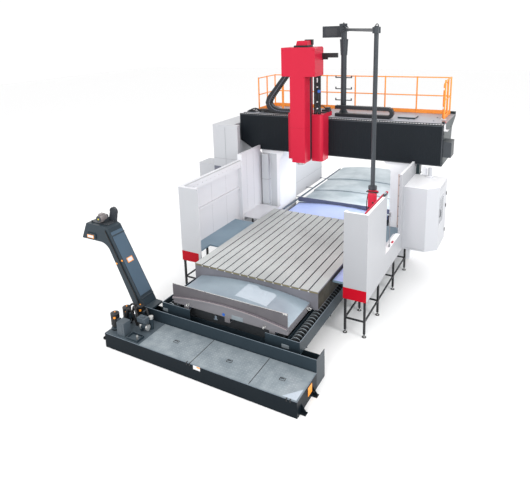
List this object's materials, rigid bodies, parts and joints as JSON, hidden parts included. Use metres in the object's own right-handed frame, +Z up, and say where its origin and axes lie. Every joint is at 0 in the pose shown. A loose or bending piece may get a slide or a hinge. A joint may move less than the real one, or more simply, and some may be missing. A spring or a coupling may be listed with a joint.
{
  "type": "double column machining center",
  "caption": "Double column machining center: a slotted table slides under a fixed beam whose saddle carries a vertical ram, with guards, way covers and a chip conveyor.",
  "frame": {"origin": "on the floor under the bed, midway between the columns", "axes": "+X across the table to the operator's swing arm side, +Y back along the bed, +Z up"},
  "size_m": [7.543, 11.989, 6.28],
  "materials": {
    "white_paint": "satin paint",
    "beam_paint": "satin paint",
    "blue_grey_paint": "satin paint",
    "red_paint": "gloss paint",
    "orange_paint": "satin paint",
    "black_paint": "satin paint",
    "dark_grey_paint": "satin paint",
    "cast_iron": "painted casting",
    "ground_steel": "ground",
    "cover_steel": "rolled sheet",
    "bright_steel": "ground",
    "cover_cloth": "matt",
    "black_plastic": "matt",
    "window_glass": "dark tint"
  },
  "bodies": {
    "base": {"bed": "cast_iron", "troughs": "blue_grey_paint", "columns": "white_paint", "crossbeam": "beam_paint", "beam_cover": "cover_cloth", "beam_end_box": "dark_grey_paint", "beam_deck": "blue_grey_paint", "railing": "orange_paint", "left_railing": "orange_paint", "right_railing": "orange_paint", "beam_chain": "black_plastic", "pole": "dark_grey_paint", "coolant_tank": "blue_grey_paint", "tank_lids": "cover_steel", "pumps": "black_paint", "chip_conveyor": "blue_grey_paint", "conveyor_drive": "dark_grey_paint", "left_guard": "white_paint", "left_high_guard": "white_paint", "right_guard": "white_paint", "rear_guards": "white_paint", "guard_bands": "red_paint", "left_legs": "black_paint", "right_legs": "black_paint", "platforms": "blue_grey_paint", "tall_cabinet": "white_paint", "small_cabinet": "white_paint", "magazine_housing": "white_paint", "magazine_window": "window_glass", "front_cover": "cover_steel", "rear_cover": "cover_steel"},
    "table": {"table": "ground_steel", "table_covers": "cover_steel"},
    "front_cover_a": {"front_cover_a": "cover_steel"},
    "front_cover_b": {"front_cover_b": "cover_steel"},
    "front_cover_c": {"front_cover_c": "cover_steel"},
    "rear_cover_a": {"rear_cover_a": "cover_steel"},
    "rear_cover_b": {"rear_cover_b": "cover_steel"},
    "saddle": {"saddle": "red_paint", "saddle_chain": "black_plastic"},
    "ram": {"ram": "red_paint", "head_box": "red_paint", "balance_rods": "black_paint", "ram_drive": "black_paint", "spindle": "bright_steel"},
    "pendant_arm": {"pendant_arm": "dark_grey_paint"},
    "control_station": {"control_station": "red_paint"},
    "sliding_door": {"sliding_door": "white_paint"},
    "left_auger": {"left_auger": "bright_steel"},
    "right_auger": {"right_auger": "bright_steel"}
  },
  "joints": [
    {"name": "table_slide", "type": "slide", "parent": "base", "child": "table", "axis": [0, 1, 0], "range_m": [0, 3.9]},
    {"name": "front_cover_a_slide", "type": "slide", "parent": "base", "child": "front_cover_a", "axis": [0, 1, 0], "range_m": [0, 0.975]},
    {"name": "front_cover_b_slide", "type": "slide", "parent": "base", "child": "front_cover_b", "axis": [0, 1, 0], "range_m": [0, 1.95]},
    {"name": "front_cover_c_slide", "type": "slide", "parent": "base", "child": "front_cover_c", "axis": [0, 1, 0], "range_m": [0, 2.925]},
    {"name": "rear_cover_a_slide", "type": "slide", "parent": "base", "child": "rear_cover_a", "axis": [0, 1, 0], "range_m": [0, 2.6001]},
    {"name": "rear_cover_b_slide", "type": "slide", "parent": "base", "child": "rear_cover_b", "axis": [0, 1, 0], "range_m": [0, 1.3001]},
    {"name": "saddle_slide", "type": "slide", "parent": "base", "child": "saddle", "axis": [1, 0, 0], "range_m": [-1, 2.2]},
    {"name": "ram_slide", "type": "slide", "parent": "saddle", "child": "ram", "axis": [0, 0, 1], "range_m": [-1, 0]},
    {"name": "arm_swing", "type": "hinge", "parent": "base", "child": "pendant_arm", "pos_m": [0.053, 0.18, 6.12], "axis": [0, 0, 1], "range_deg": [-25, 0]},
    {"name": "station_turn", "type": "hinge", "parent": "pendant_arm", "child": "control_station", "pos_m": [1.93, -3.15, 2.74], "axis": [0, 0, 1], "range_deg": [-90, 90]},
    {"name": "door_slide", "type": "slide", "parent": "base", "child": "sliding_door", "axis": [0, 1, 0], "range_m": [0, 1.28]},
    {"name": "left_auger_turn", "type": "hinge", "parent": "base", "child": "left_auger", "pos_m": [-1.44, 0, 0.55], "axis": [0, 1, 0], "continuous": true},
    {"name": "right_auger_turn", "type": "hinge", "parent": "base", "child": "right_auger", "pos_m": [1.44, 0, 0.55], "axis": [0, 1, 0], "continuous": true}
  ],
  "couplings": [
    {"joint": "front_cover_a_slide", "follows": "table_slide", "ratio": 0.25},
    {"joint": "front_cover_b_slide", "follows": "table_slide", "ratio": 0.5},
    {"joint": "front_cover_c_slide", "follows": "table_slide", "ratio": 0.75},
    {"joint": "rear_cover_a_slide", "follows": "table_slide", "ratio": 0.66667},
    {"joint": "rear_cover_b_slide", "follows": "table_slide", "ratio": 0.33333}
  ]
}
